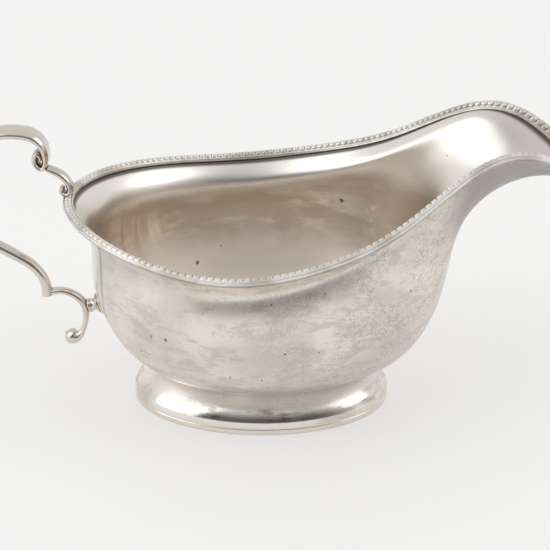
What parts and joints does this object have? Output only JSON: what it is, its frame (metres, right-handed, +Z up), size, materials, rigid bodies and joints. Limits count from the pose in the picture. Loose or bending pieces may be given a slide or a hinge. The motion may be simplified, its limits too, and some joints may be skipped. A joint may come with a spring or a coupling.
{
  "type": "sauce boat",
  "caption": "Footed silver sauce boat: an oval raised bowl with a long pouring lip, a beaded border, an oval foot and a scroll handle.",
  "frame": {"origin": "centre of the foot, on the table it stands on", "axes": "+X towards the pouring lip, +Y across the boat, +Z up; the handle is on the -X side"},
  "size_m": [0.1906, 0.093, 0.088],
  "materials": {
    "bowl_silver": "hand-raised sterling sheet, warm grey with cloudy tarnish, fine scratches and small pits",
    "border_silver": "bright beaded wire, dark in the gaps between beads",
    "foot_silver": "bright polished sheet with light tarnish in the hollow",
    "handle_silver": "smooth cast silver, pale and warm, dark in the scroll eyes"
  },
  "bodies": {
    "root": {"bowl": "bowl_silver", "bead_border": "border_silver", "foot": "foot_silver", "foot_ring": "foot_silver", "handle_main_scroll": "handle_silver", "handle_rim_scroll": "handle_silver", "handle_lower_scroll": "handle_silver", "handle_boss": "handle_silver"}
  },
  "joints": []
}
